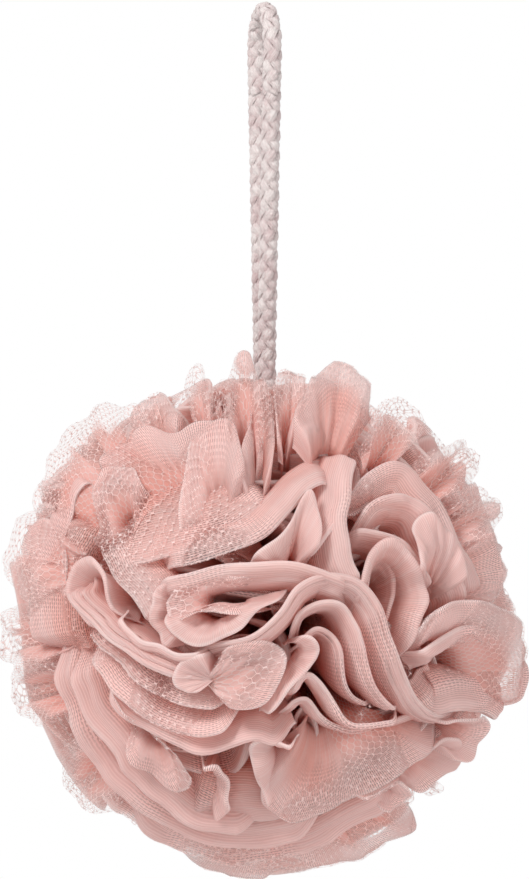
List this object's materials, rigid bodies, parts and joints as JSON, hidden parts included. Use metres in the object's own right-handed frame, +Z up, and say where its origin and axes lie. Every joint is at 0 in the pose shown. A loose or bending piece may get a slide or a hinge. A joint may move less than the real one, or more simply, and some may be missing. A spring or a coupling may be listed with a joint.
{
  "type": "bath pouf",
  "caption": "Ball of gathered tubular netting on a braided cord loop, hung from a peg, for washing and scrubbing the body.",
  "frame": {"origin": "top of the inside of the hanging loop, where the peg or hook carries it", "axes": "+Z up along the hanging cord, +X to the right as seen from the front, -Y towards the viewer"},
  "size_m": [0.139, 0.1418, 0.2309],
  "materials": {
    "cord": "matt braided cotton",
    "twine": "matt twine",
    "netting": "soft sheen knitted netting"
  },
  "bodies": {
    "loop": {"cord_bend": "cord"},
    "loop_sides": {"cord_front_upper": "cord", "cord_back_upper": "cord"},
    "strands": {"cord_front_strand": "cord", "cord_back_strand": "cord"},
    "pouf": {"cord_knot": "cord", "waist_tie": "twine", "netting_sleeve_1": "netting", "netting_sleeve_2": "netting", "netting_sleeve_3": "netting", "netting_sleeve_4": "netting"}
  },
  "joints": [
    {"name": "swing_in_loop_plane", "type": "hinge", "parent": "loop", "child": "loop_sides", "pos_m": [0, 0, -0.0075], "axis": [0.9781, 0.2079, 0], "range_deg": [-30, 30], "deforming": ["cord_bend", "cord_front_upper", "cord_back_upper"]},
    {"name": "swing_across_loop", "type": "hinge", "parent": "loop_sides", "child": "strands", "pos_m": [0, 0, -0.024], "axis": [0.2079, -0.9781, 0], "range_deg": [-30, 30], "deforming": ["cord_front_strand", "cord_back_strand"]},
    {"name": "twist_on_cord", "type": "hinge", "parent": "strands", "child": "pouf", "pos_m": [0, 0, -0.139], "axis": [0, 0, 1], "range_deg": [-90, 90], "stiffness_Nm_per_rad": 0.0002}
  ]
}
